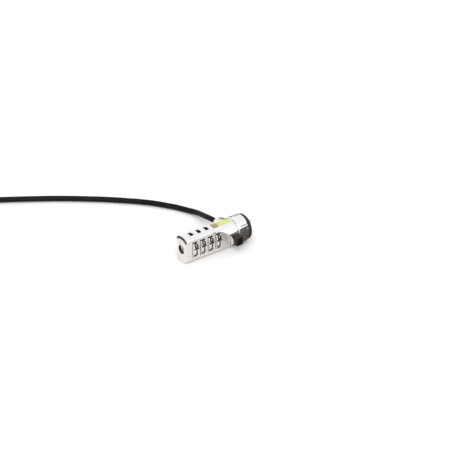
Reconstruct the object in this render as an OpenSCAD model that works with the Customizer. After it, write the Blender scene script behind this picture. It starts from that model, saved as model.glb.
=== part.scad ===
// Combination cable lock for a laptop's security slot.
// The barrel's axis runs along X at a height of body_d / 2, with its end face
// at the low X end and the T-head at the high X end. The lock and its cable
// lie on the plane z = 0.

/* [Barrel] */
// Diameter of the barrel, its collar and the locking ring
body_d = 20; // [18.5:0.5:24]
// Distance between the two flat faces
flat_gap = 11; // [10.5:0.25:13]
// Length of the barrel from its end face to the swivel groove
barrel_len = 42; // [42:0.5:52]
// Length of the face plates, with their round corner
plate_len = 39; // [37.5:0.25:40.5]
// Radius of the face plates' round corner
plate_bend = 13.3; // [12:0.1:13.5]
// Thickness of the face plates
plate_t = 1; // [0.8:0.1:1.2]
// Thickness of the bright top cover
cover_t = 1.2; // [1:0.1:1.4]
// Thickness of the liner under the top cover
liner_t = 0.3; // [0.2:0.1:0.5]
// Thickness of the wall behind the end face
end_wall = 2.9; // [2.6:0.1:3]

/* [Number dials] */
// Diameter of a number dial
dial_d = 16; // [14.5:0.5:16.25]
// Width of a number dial
dial_w = 4; // [3.4:0.1:4.4]
// Distance from one dial to the next
dial_pitch = 6.65; // [6.4:0.05:6.9]
// Distance from the end face to the middle of the first dial
first_dial_x = 8; // [7.5:0.1:8.2]
// Depth of the grip grooves between the numerals
groove_depth = 0.5; // [0.3:0.05:0.7]
// Width of a sight window in the top cover, along the barrel
sight_w = 3; // [2.4:0.1:3.4]
// Length of a sight window, across the barrel
sight_len = 4.4; // [3:0.1:5]

/* [Code mechanism] */
// Outer diameter of a code ring
code_ring_d = 8.2; // [7.6:0.1:8.2]
// Diameter of the lock spindle
spindle_d = 3; // [2.6:0.1:3.2]
// Travel of the spindle when the ring is turned
spindle_travel = 2; // [1.6:0.1:2.2]
// Diameter of the code reset screw's head
reset_head_d = 6.6; // [6:0.1:7.2]

/* [Swivel and locking ring] */
// Diameter of the neck that carries the swivel and the locking ring
neck_d = 14; // [13.5:0.25:15]
// Width of the swivel band
band_w = 1.2; // [1:0.1:1.6]
// Length of the locking ring
ring_len = 9; // [8.5:0.25:12]
// Thickness of the rubber bumper washer
bumper_t = 2.5; // [2:0.25:3.5]
// Side of the front lug along the barrel
lug_w = 5.5; // [5:0.25:6.5]
// Height of the front lug
lug_h = 6.4; // [6:0.2:8]
// Thickness of each cheek of the cable yoke
yoke_cheek = 1.9; // [1.7:0.1:2.4]
// Diameter of the cable pivot pin
pivot_pin_d = 2.4; // [2:0.1:2.6]

/* [T-head] */
// Length of the T-head across the slot
head_long = 6.6; // [6:0.1:6.8]
// Width of the T-head and of the guard tabs
head_wide = 2.8; // [2.4:0.1:2.9]
// Thickness of the T-head
head_t = 2.4; // [2:0.1:3]
// Length of the neck that passes through the slot's wall
slot_reach = 2.5; // [2:0.1:3]

/* [Cable] */
// Outside diameter of the cable
cable_d = 4; // [3.6:0.1:4.2]
// Radius of the anchor loop's round end, at the middle of the cable
loop_r = 13; // [12.5:0.5:16]
// Length of the crimp sleeve at the anchor loop
sleeve_len = 14; // [12:0.5:18]

/* [Hidden] */
$fn = 96;
eps = 0.01;
fit = 0.08;          // radial clearance of a running fit
gap = 0.3;           // clearance between pieces that pass each other
side_gap = 0.2;      // clearance on each side of a dial
dial_count = 4;
digits = 10;
body_r = body_d / 2;
flat_y = flat_gap / 2;
dial_r = dial_d / 2;
neck_r = neck_d / 2;
code_r = code_ring_d / 2;
bore_r = code_r + fit;
spindle_r = spindle_d / 2;
cable_r = cable_d / 2;

// Barrel
flat_z = sqrt(body_r * body_r - flat_y * flat_y);
plate_top_z = flat_z - 0.75;
bend_x = plate_len - plate_bend;           // middle of the plate's round corner
bend_z = plate_top_z + 0.2 - plate_bend;
plate_seam = 0.15;                         // gap between a face plate and the cover
pocket_y = flat_y - plate_t;
cover_r = body_r - cover_t;
core_r = cover_r - liner_t;
slot_r = dial_r + side_gap;
slot_half = dial_w / 2 + side_gap;
last_dial_x = first_dial_x + dial_pitch * (dial_count - 1);
core_len = last_dial_x + slot_half + 0.9;
edge_round = 0.7;
dial_turn = 26;        // leaves a land facing 28 degrees above the front
lip_len = 0.7;
lip_r = core_r - 0.2;

label_t = 0.15;
label_half = 3;
label_x = last_dial_x - sight_w / 2 - 0.6;
label_len = barrel_len - 0.1 - label_x;

// Swivel and locking ring along the barrel
band_x = barrel_len + gap;
ring_x = band_x + band_w + gap;
ring_end_x = ring_x + ring_len;
nose_t = 1.5;
nose_x = ring_end_x - nose_t;
circlip_t = 0.8;
circlip_x = nose_x - circlip_t - 0.4;
neck_end_x = nose_x - gap;
ring_bore_len = circlip_x - 0.3 - ring_x;
ring_pocket_r = neck_r + 1.6;
bumper_end_x = ring_end_x + bumper_t;
head_x = bumper_end_x + slot_reach;
overall_len = head_x + head_t;
tab_len = slot_reach - 0.5;

// Code mechanism
code_ring_len = dial_pitch - 0.45;
channel_r = code_r - 0.8;
gate_bore_r = spindle_r + 0.4;
gate_w = 1.7;
gate_t = 1.4;
fin_r = channel_r - gap;
fin_t = 1;
fin_w = 1.2;
fin_from_dial = code_ring_len / 2 - gate_t - gap - spindle_travel - fin_t;
bush_x = last_dial_x + code_ring_len / 2 + 0.4;
spring_x = bush_x + 2;
spring_len = 10;
clip_x = spring_x + gap;
clip_t = 0.6;
coil_x = clip_x + clip_t + 0.05;           // moving end of the return spring
spring_wire = 0.6;
spring_turns = 6;
reset_sunk = 1.3;
reset_head_t = 0.8;
reset_shank_r = 2;
spindle_x = end_wall + 2.4;

// Front lug and rear yoke
ear_z = 3;
lug_y = body_r + gap;
lug_out = 4.3;
lug_x = band_x + band_w - lug_w;
lug_z = -0.9;
lug_ear_z = 2.2;
yoke_y = body_r + 0.4;
yoke_z = -2.4;
yoke_wall = 1.2;
terminal_r = 3.2;
socket_r = cable_r + 0.2;
terminal_h = 2 * socket_r - 0.2;
yoke_h = terminal_h + 2 * yoke_cheek;
pivot_y = yoke_y + yoke_wall + terminal_r + side_gap;
pivot_x = band_x + band_w / 2 + 1.6;
yoke_end_x = pivot_x + 5.3;
yoke_round = terminal_r + 0.4;
socket_y = pivot_y + 2.4;
socket_len = 3;
middle_y = (pivot_y + yoke_round - lug_y - lug_out) / 2;   // middle of the lock's own box

// Cable: the route runs from the socket to the coil, then from the coil to
// the crimp sleeve. Heights are those of the cable's middle.
exit_x = pivot_x - overall_len / 2;
exit_y = socket_y + socket_len - middle_y;
exit_z = body_r + yoke_z;
coil_at = [-142, 139.5];
turn_r = [18, 22, 26, 30];
coil_in = min(turn_r) - cable_r;
coil_out = max(turn_r) + cable_r;
coil_lift = 1;
coil_h = 2 * cable_d;
tie_t = 1;
route = [
    [exit_x, exit_y, exit_z],
    [14.4, 22, 7.4],
    [14.4, 26.5, 6.7],
    [14.6, 31.5, 5.6],
    [15.2, 37.2, 4.2],
    [15.3, 41.7, 3.2],
    [14.5, 46.4, 2.4],
    [12.9, 50.5, 2],
    [9.1, 58, 2],
    [4.7, 64.7, 2],
    [0.3, 71.1, 2],
    [-4.6, 77, 2],
    [-9.7, 82.5, 2],
    [-15.3, 87.8, 2],
    [-20.6, 92.9, 2],
    [-25.2, 97, 2],
    [-29.6, 100.8, 2],
    [-41, 110, 2],
    [-52.6, 118.9, 2],
    [-64.6, 127.2, 2],
    [-76.7, 135.2, 2],
    [-89, 143, 2],
    [-101.5, 150.7, 2],
    [-115, 159, 2.3],
    [-128, 166.5, 3],
];
tail = [
    [-172, 139.5, 7],
    [-172.4, 129.5, 5.6],
    [-173, 119.5, 4],
    [-173.4, 109.5, 3.6],
];
sleeve_h = cable_d + 3.2;
strand_gap = cable_r + 0.2;
sleeve_at = [-173.4 - strand_gap, 109.5, sleeve_h / 2];
loop_reach = 26;

// Shapes shared by the pieces. They are drawn about the barrel's axis, with
// X measured from the end face.
module placed() translate([-overall_len / 2, -middle_y, body_r]) children();

module rod(x, len, r) translate([x, 0, 0]) rotate([0, 90, 0]) cylinder(h = len, r = r);

module tube(x, len, r_out, r_in) {
    difference() {
        rod(x, len, r_out);
        rod(x - 1, len + 2, r_in);
    }
}

module slab(x, len, y, depth, z, height) translate([x, y, z]) cube([len, depth, height]);

// Outline of a face plate, drawn in X and Z and given a depth along Y
module plate_outline(y, depth, grow = 0) {
    difference() {
        union() {
            intersection() {
                translate([bend_x, y + depth, bend_z])
                    rotate([90, 0, 0]) cylinder(h = depth, r = plate_bend + grow);
                slab(bend_x - eps, plate_bend + 1, y, depth, bend_z - eps, body_d);
            }
            slab(-1, bend_x + 1, y, depth, -flat_z - grow, 2 * flat_z + 2 * grow);
            slab(-1, plate_len + grow + 1, y, depth, -flat_z - grow, flat_z + grow + bend_z);
        }
        slab(-2, plate_len + 4, y - 1, depth + 2, plate_top_z + grow, body_r);
    }
}

module plate_pockets(grow = 0) {
    plate_outline(pocket_y, body_r, grow);
    plate_outline(-pocket_y - body_r, body_r, grow);
}

function dial_x(i) = first_dial_x + dial_pitch * (i - 1);

// Barrel
module barrel_core() color("lightgray") {
    difference() {
        union() {
            difference() {
                intersection() {
                    rod(0, core_len, body_r);
                    slab(-1, core_len + 2, -flat_y, flat_gap, -body_r, body_d);
                }
                difference() {
                    slab(-1, core_len + 2, -body_r, body_d, 0, body_r + 1);
                    rod(-2, core_len + 4, core_r);
                }
            }
            rod(core_len - eps, neck_end_x - core_len + eps, neck_r);
        }
        plate_pockets();
        lip_space();
        for (i = [1 : dial_count]) {
            rod(dial_x(i) - slot_half, 2 * slot_half, slot_r);
            slab(dial_x(i) - slot_half, 2 * slot_half, -flat_y, flat_gap, 0, body_r);
        }
        rod(end_wall, neck_end_x, bore_r);
        rod(-1, 1 + reset_sunk + reset_head_t + 0.1, reset_head_d / 2 + fit);
        rod(-1, end_wall + 2, reset_shank_r + fit);
        slab(first_dial_x - slot_half - 1, core_len, -1.6, 3.2, -slot_r - 0.8, 1.2);
        tube(circlip_x - fit, circlip_t + 2 * fit, neck_r + 1, neck_r - 0.6);
    }
}

module top_cover() color("white") {
    difference() {
        union() {
            intersection() {
                rod(0, core_len + 1, body_r);
                slab(0, core_len + 1, -flat_y, flat_gap, plate_top_z + 0.1, body_r);
            }
            difference() {
                rod(bend_x, barrel_len - bend_x, body_r);
                slab(bend_x - 1, core_len - bend_x + 1, -flat_y, flat_gap, -body_r - 1, body_d + 2);
                plate_pockets(plate_seam);
            }
        }
        rod(-1, core_len + 1, cover_r);
        rod(core_len - eps, barrel_len, neck_r);
        lip_space();
        for (i = [1 : dial_count])
            slab(dial_x(i) - sight_w / 2, sight_w, -sight_len / 2, sight_len, 0, body_r + 1);
        label_space();
    }
}

// Room for the liner's lip, above the arc that ends the satin end face
module lip_space() {
    difference() {
        slab(-1, 1 + lip_len, -body_r, body_d, 0, body_r);
        rod(-2, lip_len + 4, lip_r);
    }
}

module cover_liner() color("black") {
    intersection() {
        rod(0, lip_len - 0.02, body_r - 0.05);
        difference() {
            slab(0, lip_len, -flat_y, flat_gap, 0, body_r);
            rod(-1, lip_len + 2, lip_r + 0.02);
        }
    }
    difference() {
        intersection() {
            tube(0.15, core_len - 0.15, cover_r, core_r);
            slab(0, core_len, -pocket_y, 2 * pocket_y, 0, body_r);
        }
        for (i = [1 : dial_count])
            slab(dial_x(i) - sight_w / 2, sight_w, -sight_len / 2, sight_len, 0, body_r);
    }
}

// A face plate lies against the pocket floor and its windows clear the dials
module face_plate(side) color("silver") {
    y = side > 0 ? pocket_y : -flat_y;
    difference() {
        plate_outline(y, plate_t);
        slab(-2, 2, y - 1, plate_t + 2, -body_r, body_d);
        for (i = [1 : dial_count])
            rod(dial_x(i) - slot_half, 2 * slot_half, slot_r);
        lip_space();
        // rounded corner where the plate meets the end face
        difference() {
            slab(-1, 1 + edge_round, side > 0 ? flat_y - edge_round : -flat_y - 1, edge_round + 1, -body_r, body_d);
            translate([edge_round, side * (flat_y - edge_round), -body_r - 1])
                cylinder(h = body_d + 2, r = edge_round);
        }
    }
}

module label_space() {
    intersection() {
        tube(label_x, label_len, body_r + 1, body_r - label_t);
        slab(label_x, label_len, -label_half, 2 * label_half, 0, body_r + 1);
    }
}

// Film over the last sight window and the collar
module top_label() color("yellow") {
    intersection() {
        tube(label_x, label_len, body_r, body_r - label_t);
        slab(label_x, label_len, -label_half, 2 * label_half, 0, body_r + 1);
    }
}

// Leaf spring with one bump under each dial
module click_spring() color("gray") {
    strip_z = -slot_r - 0.75;
    slab(first_dial_x - slot_half - 0.8, core_len - first_dial_x + slot_half, -1.5, 3, strip_z, 0.3);
    for (i = [1 : dial_count]) {
        intersection() {
            translate([dial_x(i) - 1.2, 0, strip_z + 0.1]) rotate([0, 90, 0]) cylinder(h = 2.4, r = 0.75);
            slab(dial_x(i) - 2, 4, -1.4, 2.8, strip_z + 0.1, 2);
        }
    }
}

module spindle_bush() color("goldenrod") {
    difference() {
        rod(bush_x, neck_end_x - bush_x, bore_r);
        rod(bush_x - 1, barrel_len + ring_len, spindle_r + fit);
        rod(spring_x, spring_len, channel_r);
    }
}

// Compression spring in the bush, swept along its own helix
module return_spring() color("gray") {
    mid_r = channel_r - spring_wire;
    sides = 6;
    per_turn = 14;
    rings = spring_turns * per_turn;
    rise = (spring_x + spring_len - coil_x - 2 * spring_wire) / rings;
    points = [
        for (k = [0 : rings], s = [0 : sides - 1])
            let (a = 360 * k / per_turn, b = 360 * s / sides, r = mid_r + spring_wire / 2 * cos(b))
            [coil_x + spring_wire + rise * k + spring_wire / 2 * sin(b), r * cos(a), r * sin(a)]
    ];
    faces = concat(
        [[for (s = [0 : sides - 1]) s]],
        [for (k = [0 : rings - 1], s = [0 : sides - 1])
            [k * sides + s, (k + 1) * sides + s, (k + 1) * sides + (s + 1) % sides, k * sides + (s + 1) % sides]],
        [[for (s = [sides - 1 : -1 : 0]) rings * sides + s]]
    );
    polyhedron(points = points, faces = faces);
}

module ring_circlip() color("gray") {
    difference() {
        tube(circlip_x, circlip_t, neck_r + 1, neck_r - 0.6 + eps);
        slab(circlip_x - 1, circlip_t + 2, -2, 4, 0, body_r);
    }
}

// Code reset screw: slotted head in the end face, shank through the end wall
module reset_screw() color("gray") {
    difference() {
        union() {
            rod(reset_sunk, reset_head_t, reset_head_d / 2);
            rod(reset_sunk, end_wall + 1.4 - reset_sunk, reset_shank_r);
        }
        slab(-1, 1.5 + reset_sunk, -0.6, 1.2, -reset_head_d / 2 - 1, reset_head_d + 2);
        tube(end_wall + 0.3, 0.6, reset_shank_r + 1, reset_shank_r - 0.5);
    }
}

module reset_clip() color("gray") {
    difference() {
        tube(end_wall + 0.35, 0.5, reset_shank_r + 1.4, reset_shank_r - 0.5 + eps);
        slab(end_wall, 2, -1.2, 2.4, 0, body_r);
    }
}

// Number dial: ten numeral lands parted by grip grooves
module dial(i) color("gainsboro") {
    groove_r = 0.75;
    difference() {
        rod(dial_x(i) - dial_w / 2, dial_w, dial_r);
        rod(dial_x(i) - dial_w, 2 * dial_w, code_r);
        for (k = [0 : digits - 1])
            rotate([360 / digits * (k + 0.5) + dial_turn, 0, 0])
                translate([dial_x(i) - dial_w, 0, dial_r - groove_depth + groove_r])
                    rotate([0, 90, 0]) cylinder(h = 2 * dial_w, r = groove_r, $fn = 32);
    }
}

// Code ring: the spindle's fin runs in the wide channel, the gate flange closes it
module code_ring(i) color("goldenrod") {
    x = dial_x(i) - code_ring_len / 2;
    flange_x = x + code_ring_len - gate_t;
    difference() {
        rod(x, code_ring_len, code_r);
        rod(x - 1, code_ring_len - gate_t + 1, channel_r);
        rod(x - 1, code_ring_len + 2, gate_bore_r);
        slab(flange_x - 1, 4, -gate_w / 2, gate_w, 0, channel_r);
    }
}

// Spindle with a fin for each code ring and the T-head at its tip
module lock_spindle() color("gray") {
    difference() {
        union() {
            rod(spindle_x, head_x - spindle_x + eps, spindle_r);
            for (i = [1 : dial_count])
                slab(dial_x(i) + fin_from_dial, fin_t, -fin_w / 2, fin_w, 0, fin_r);
            slab(head_x, head_t, -head_wide / 2, head_wide, -head_long / 2, head_long);
        }
        tube(clip_x, clip_t, spindle_r + 1, spindle_r - 0.4);
    }
}

module spindle_clip() color("gray") {
    tube(clip_x + eps, clip_t - 2 * eps, channel_r - 0.2, spindle_r - 0.4 + eps);
}

// Locking ring: fluted grip that turns on the neck
module locking_ring() color("silver") {
    flutes = 24;
    flute_r = 1;
    flute_depth = 0.2;
    rim = 0.5;
    difference() {
        translate([ring_x, 0, 0]) rotate([0, 90, 0]) rotate_extrude()
            polygon([
                [neck_r + fit, 0], [body_r - rim, 0], [body_r, rim],
                [body_r, ring_len - rim], [body_r - rim, ring_len], [neck_r + fit, ring_len]
            ]);
        rod(ring_x + ring_bore_len, ring_len, ring_pocket_r);
        for (k = [0 : flutes - 1])
            rotate([360 / flutes * k, 0, 0])
                translate([ring_x + ring_len * 0.36, 0, body_r + flute_r - flute_depth])
                    rotate([0, 90, 0]) cylinder(h = ring_len * 0.5, r = flute_r, $fn = 24);
    }
}

module nose_plate() color("gray") {
    tab_y = spindle_r + gap;
    tab_out = head_long / 2;
    difference() {
        union() {
            rod(nose_x, nose_t, ring_pocket_r);
            for (s = [-1, 1])
                slab(nose_x, bumper_end_x + tab_len - nose_x,
                     s > 0 ? tab_y : -tab_out, tab_out - tab_y, -head_wide / 2, head_wide);
        }
        rod(nose_x - 1, ring_len, spindle_r + gap);
    }
}

module bumper_washer() color("black") {
    bumper_r = body_r - 0.4;
    hole_r = norm([head_long / 2, head_wide / 2]);
    rim = 0.6;
    translate([ring_end_x, 0, 0]) rotate([0, 90, 0]) rotate_extrude()
        polygon([
            [hole_r, 0], [bumper_r, 0], [bumper_r, bumper_t - rim],
            [bumper_r - rim, bumper_t], [hole_r, bumper_t]
        ]);
}

// Swivel band with an ear for the front lug and one for the rear yoke
module swivel_band() color("silver") {
    tube(band_x, band_w, body_r - 0.3, neck_r + fit);
    slab(band_x, band_w, -lug_y - lug_out / 2, lug_out / 2 + 1.2, lug_z - lug_ear_z, 2 * lug_ear_z);
    difference() {
        slab(band_x, band_w, neck_r - 1, yoke_y + yoke_wall - neck_r + 1, yoke_z - ear_z, 2 * ear_z);
        rod(band_x - 1, band_w + 2, neck_r + 1);
    }
}

module front_lug() color("black") {
    difference() {
        slab(lug_x, lug_w, -lug_y - lug_out, lug_out, lug_z - lug_h / 2, lug_h);
        slab(band_x, band_w + 1, -lug_y - lug_out / 2, lug_out, lug_z - lug_ear_z, 2 * lug_ear_z);
    }
}

module cable_yoke() color("silver") translate([0, 0, yoke_z]) {
    slot_h = terminal_h + 2 * side_gap;
    yoke_x = pivot_x - yoke_round;
    difference() {
        union() {
            slab(yoke_x, yoke_end_x - yoke_x, yoke_y, pivot_y - yoke_y, -yoke_h / 2, yoke_h);
            translate([pivot_x, pivot_y, -yoke_h / 2]) cylinder(h = yoke_h, r = yoke_round);
        }
        slab(yoke_x - 1, yoke_end_x, yoke_y + yoke_wall, body_r, -slot_h / 2, slot_h);
        slab(band_x, band_w, yoke_y - 1, yoke_wall + 1, -ear_z, 2 * ear_z);
        translate([pivot_x, pivot_y, -yoke_h]) cylinder(h = 2 * yoke_h, r = pivot_pin_d / 2);
        translate([yoke_end_x, pivot_y, -yoke_h]) cylinder(h = 2 * yoke_h, r = 1.6);
    }
}

module pivot_pin() color("gray") {
    translate([pivot_x, pivot_y, yoke_z - yoke_h / 2]) cylinder(h = yoke_h, r = pivot_pin_d / 2);
}

// Cable
module cable_terminal() color("silver") translate([0, 0, yoke_z]) {
    difference() {
        union() {
            translate([pivot_x, pivot_y, -terminal_h / 2]) cylinder(h = terminal_h, r = terminal_r);
            translate([pivot_x, pivot_y, 0]) rotate([-90, 0, 0])
                cylinder(h = socket_y - pivot_y + eps, r = socket_r - 0.1);
            translate([pivot_x, socket_y, 0]) rotate([-90, 0, 0]) rotate_extrude()
                polygon([
                    [0, 0], [socket_r - 0.2, 0], [socket_r, 0.2],
                    [socket_r, socket_len - 0.2], [socket_r - 0.2, socket_len], [0, socket_len]
                ]);
        }
        translate([pivot_x, pivot_y, -yoke_h]) cylinder(h = 2 * yoke_h, r = pivot_pin_d / 2 + 0.06);
    }
}

function unit(v) = v / norm(v);
function heading(path, k) =
    unit(path[min(k + 1, len(path) - 1)] - path[max(k - 1, 0)]);

// Tube swept along a path that stays close to level
module swept_cable(path) {
    sides = 8;
    points = [
        for (k = [0 : len(path) - 1])
            let (t = heading(path, k), side = unit(cross(t, [0, 0, 1])), up = cross(side, t))
            for (s = [0 : sides - 1])
                path[k] + cable_r * (cos(360 * s / sides) * side + sin(360 * s / sides) * up)
    ];
    last = len(path) - 1;
    faces = concat(
        [[for (s = [0 : sides - 1]) s]],
        [for (k = [0 : last - 1], s = [0 : sides - 1])
            [k * sides + s, (k + 1) * sides + s, (k + 1) * sides + (s + 1) % sides, k * sides + (s + 1) % sides]],
        [[for (s = [sides - 1 : -1 : 0]) last * sides + s]]
    );
    polyhedron(points = points, faces = faces);
}

module cable_run() color("black") swept_cable(route);

module cable_tail() color("black") swept_cable(tail);

module coil_section(grow) {
    translate([coil_in - grow, coil_lift - grow])
        square([coil_out - coil_in + 2 * grow, coil_h + 2 * grow]);
}

module cable_coil() color("black") {
    translate([coil_at.x, coil_at.y, 0]) rotate_extrude() coil_section(0);
}

module coil_tie() color("black") {
    translate([coil_at.x, coil_at.y, 0]) rotate([0, 0, 250]) rotate_extrude(angle = 22)
        difference() {
            coil_section(tie_t);
            coil_section(0);
        }
}

// Anchor loop: a round end with two straight legs into the crimp sleeve
function loop_path() =
    let (
        mouth = sleeve_at - [0, sleeve_len, 0],
        middle = mouth - [0, loop_reach, 0],
        tangent = atan2(loop_reach, strand_gap) - acos(loop_r / norm([strand_gap, loop_reach])),
        steps = 20,
        sweep = 180 + 2 * tangent
    )
    concat(
        [mouth + [strand_gap, 0, 0]],
        [for (k = [0 : steps])
            let (a = tangent - sweep * k / steps)
            middle + loop_r * [cos(a), sin(a), 0]],
        [mouth - [strand_gap, 0, 0]]
    );

module anchor_loop() color("black") swept_cable(loop_path());

module loop_sleeve() color("silver") {
    sleeve_r = sleeve_h / 2;
    translate([sleeve_at.x, sleeve_at.y, sleeve_at.z]) rotate([90, 0, 0]) {
        for (s = [-1, 1])
            translate([s * strand_gap, 0, 0]) cylinder(h = sleeve_len, r = sleeve_r);
        translate([-strand_gap, -sleeve_r, 0]) cube([2 * strand_gap, sleeve_h, sleeve_len]);
    }
}

placed() barrel_core();
placed() top_cover();
placed() cover_liner();
placed() face_plate(-1);  // front_face_plate
placed() face_plate(1);  // rear_face_plate
placed() top_label();
placed() click_spring();
placed() spindle_bush();
placed() return_spring();
placed() ring_circlip();
placed() reset_screw();
placed() reset_clip();
placed() dial(1);  // dial_1
placed() dial(2);  // dial_2
placed() dial(3);  // dial_3
placed() dial(4);  // dial_4
placed() code_ring(1);  // code_ring_1
placed() code_ring(2);  // code_ring_2
placed() code_ring(3);  // code_ring_3
placed() code_ring(4);  // code_ring_4
placed() lock_spindle();
placed() spindle_clip();
placed() locking_ring();
placed() nose_plate();
placed() bumper_washer();
placed() swivel_band();
placed() front_lug();
placed() cable_yoke();
placed() pivot_pin();
placed() cable_terminal();
cable_run();
cable_coil();
cable_tail();
coil_tie();
anchor_loop();
loop_sleeve();
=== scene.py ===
import math

import bmesh
import bpy
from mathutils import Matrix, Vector


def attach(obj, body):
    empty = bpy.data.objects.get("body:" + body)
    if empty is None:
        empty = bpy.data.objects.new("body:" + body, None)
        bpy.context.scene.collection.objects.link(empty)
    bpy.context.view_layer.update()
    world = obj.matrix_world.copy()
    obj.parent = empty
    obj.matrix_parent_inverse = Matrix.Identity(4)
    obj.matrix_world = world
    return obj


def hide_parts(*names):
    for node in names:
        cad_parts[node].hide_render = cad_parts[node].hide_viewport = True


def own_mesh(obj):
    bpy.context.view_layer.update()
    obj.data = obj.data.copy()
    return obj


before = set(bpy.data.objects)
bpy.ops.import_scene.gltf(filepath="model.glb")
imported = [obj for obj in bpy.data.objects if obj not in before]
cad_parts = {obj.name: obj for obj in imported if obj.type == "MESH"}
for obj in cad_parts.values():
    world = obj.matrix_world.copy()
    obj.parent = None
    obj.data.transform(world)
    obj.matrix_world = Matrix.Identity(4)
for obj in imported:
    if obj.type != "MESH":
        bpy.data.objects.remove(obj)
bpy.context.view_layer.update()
mm = 0.001

# Shared sizes in millimetres. X is measured from the barrel's end face,
# Y and Z from the barrel's axis.
lock = {
    "length": 60.2,
    "axisY": -2.0,
    "axisZ": 10.0,
}


def along(x):
    return (x - lock["length"] / 2) * mm


def place(x, y, z):
    return Vector((along(x), (y + lock["axisY"]) * mm, (z + lock["axisZ"]) * mm))


# Camera, with its distance and aim in metres
view = {
    "azimuth": -36,
    "elevation": 31,
    "distance": 2.5,
    "lens": 280,
    "aim": (0.0146, 0.0071, 0.010),
}


def makeCamera():
    azimuth = math.radians(view["azimuth"])
    elevation = math.radians(view["elevation"])
    back = Vector((
        math.sin(azimuth) * math.cos(elevation),
        -math.cos(azimuth) * math.cos(elevation),
        math.sin(elevation),
    ))
    data = bpy.data.cameras.new("photoCamera")
    data.lens = view["lens"]
    data.clip_start = 0.05
    data.clip_end = 30
    camera = bpy.data.objects.new("photoCamera", data)
    bpy.context.scene.collection.objects.link(camera)
    camera.location = Vector(view["aim"]) + back * view["distance"]
    camera.rotation_euler = (-back).to_track_quat("-Z", "Y").to_euler()
    bpy.context.scene.camera = camera


makeCamera()
print("camera placed")


def meshObject(name, vertices, faces, uvs=None):
    mesh = bpy.data.meshes.new(name)
    mesh.from_pydata([tuple(v) for v in vertices], [], faces)
    if uvs is not None:
        layer = mesh.uv_layers.new(name="UVMap")
        for polygon in mesh.polygons:
            for corner, uv in zip(polygon.loop_indices, uvs[polygon.index]):
                layer.data[corner].uv = uv
    mesh.update()
    made = bpy.data.objects.new(name, mesh)
    bpy.context.scene.collection.objects.link(made)
    return made


def faceOutwards(mesh):
    shell = bmesh.new()
    shell.from_mesh(mesh)
    bmesh.ops.recalc_face_normals(shell, faces=shell.faces)
    shell.to_mesh(mesh)
    shell.free()


def smoothByAngle(mesh, angle):
    for polygon in mesh.polygons:
        polygon.use_smooth = True
    mesh.set_sharp_from_angle(angle=math.radians(angle))


def addBevel(piece, width, segments=3, angle=30):
    bevel = piece.modifiers.new("edgeRound", "BEVEL")
    bevel.width = width * mm
    bevel.segments = segments
    bevel.limit_method = "ANGLE"
    bevel.angle_limit = math.radians(angle)
    bevel.harden_normals = True


def plainMesh(piece):
    evaluated = piece.evaluated_get(bpy.context.evaluated_depsgraph_get())
    mesh = bpy.data.meshes.new_from_object(evaluated)
    piece.modifiers.clear()
    piece.data = mesh


def finishPiece(piece, body, slotName, material, *nodes):
    piece.data.materials.clear()
    piece.data.materials.append(material)
    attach(piece, body)
    if nodes:
        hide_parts(*nodes)
    return piece


# How loose triangles are joined into faces: metres and degrees
joining = {"distance": 2e-6, "flatAngle": 0.6}


# A copy of a CAD node with joined faces, round edges and smooth shading
def softCopy(node, name, body, slotName, material, width=0.2, segments=3, sharp=32):
    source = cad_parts[node].data
    shell = bmesh.new()
    shell.from_mesh(source)
    bmesh.ops.remove_doubles(shell, verts=shell.verts, dist=joining["distance"])
    flatAngle = math.radians(joining["flatAngle"])
    bmesh.ops.dissolve_limit(shell, angle_limit=flatAngle, verts=shell.verts, edges=shell.edges)
    mesh = bpy.data.meshes.new(name)
    shell.to_mesh(mesh)
    shell.free()
    if "custom_normal" in mesh.attributes:
        mesh.attributes.remove(mesh.attributes["custom_normal"])
    smoothByAngle(mesh, sharp)
    piece = bpy.data.objects.new(name, mesh)
    bpy.context.scene.collection.objects.link(piece)
    if width:
        addBevel(piece, width, segments, sharp)
    return finishPiece(piece, body, slotName, material, node)


# Turned shape about the barrel's axis from a closed outline of (x, radius)
def turned(name, outline, around):
    vertices, faces = [], []
    count = len(outline)
    for step in range(around):
        angle = 2 * math.pi * step / around
        for x, radius in outline:
            vertices.append(place(x, radius * math.cos(angle), radius * math.sin(angle)))
    for step in range(around):
        here, there = step * count, (step + 1) % around * count
        for k in range(count):
            following = (k + 1) % count
            faces.append((here + k, there + k, there + following, here + following))
    made = meshObject(name, vertices, faces)
    faceOutwards(made.data)
    return made


# Outline corner rounded by a quarter arc
def roundCorner(outline, corner, radius, steps=5):
    before, at, after = (Vector(outline[(corner + k) % len(outline)]) for k in (-1, 0, 1))
    start = at + (before - at).normalized() * radius
    end = at + (after - at).normalized() * radius
    made = []
    for k in range(steps + 1):
        t = k / steps
        made.append(tuple((1 - t) ** 2 * start + 2 * t * (1 - t) * at + t * t * end))
    return outline[:corner] + made + outline[corner + 1:]


def newGroup(name, inputs, outputs):
    tree = bpy.data.node_groups.new(name, "ShaderNodeTree")
    for label, kind, value in inputs:
        socket = tree.interface.new_socket(label, in_out="INPUT", socket_type=kind)
        if value is not None:
            socket.default_value = value
    for label, kind in outputs:
        tree.interface.new_socket(label, in_out="OUTPUT", socket_type=kind)
    start = tree.nodes.new("NodeGroupInput")
    end = tree.nodes.new("NodeGroupOutput")
    return tree, start, end


def mathNode(tree, operation, first, second=None, clamp=False):
    made = tree.nodes.new("ShaderNodeMath")
    made.operation = operation
    made.use_clamp = clamp
    for socket, value in zip(made.inputs, (first, second)):
        if value is None:
            continue
        if isinstance(value, (int, float)):
            socket.default_value = value
        else:
            tree.links.new(value, socket)
    return made.outputs[0]


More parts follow.
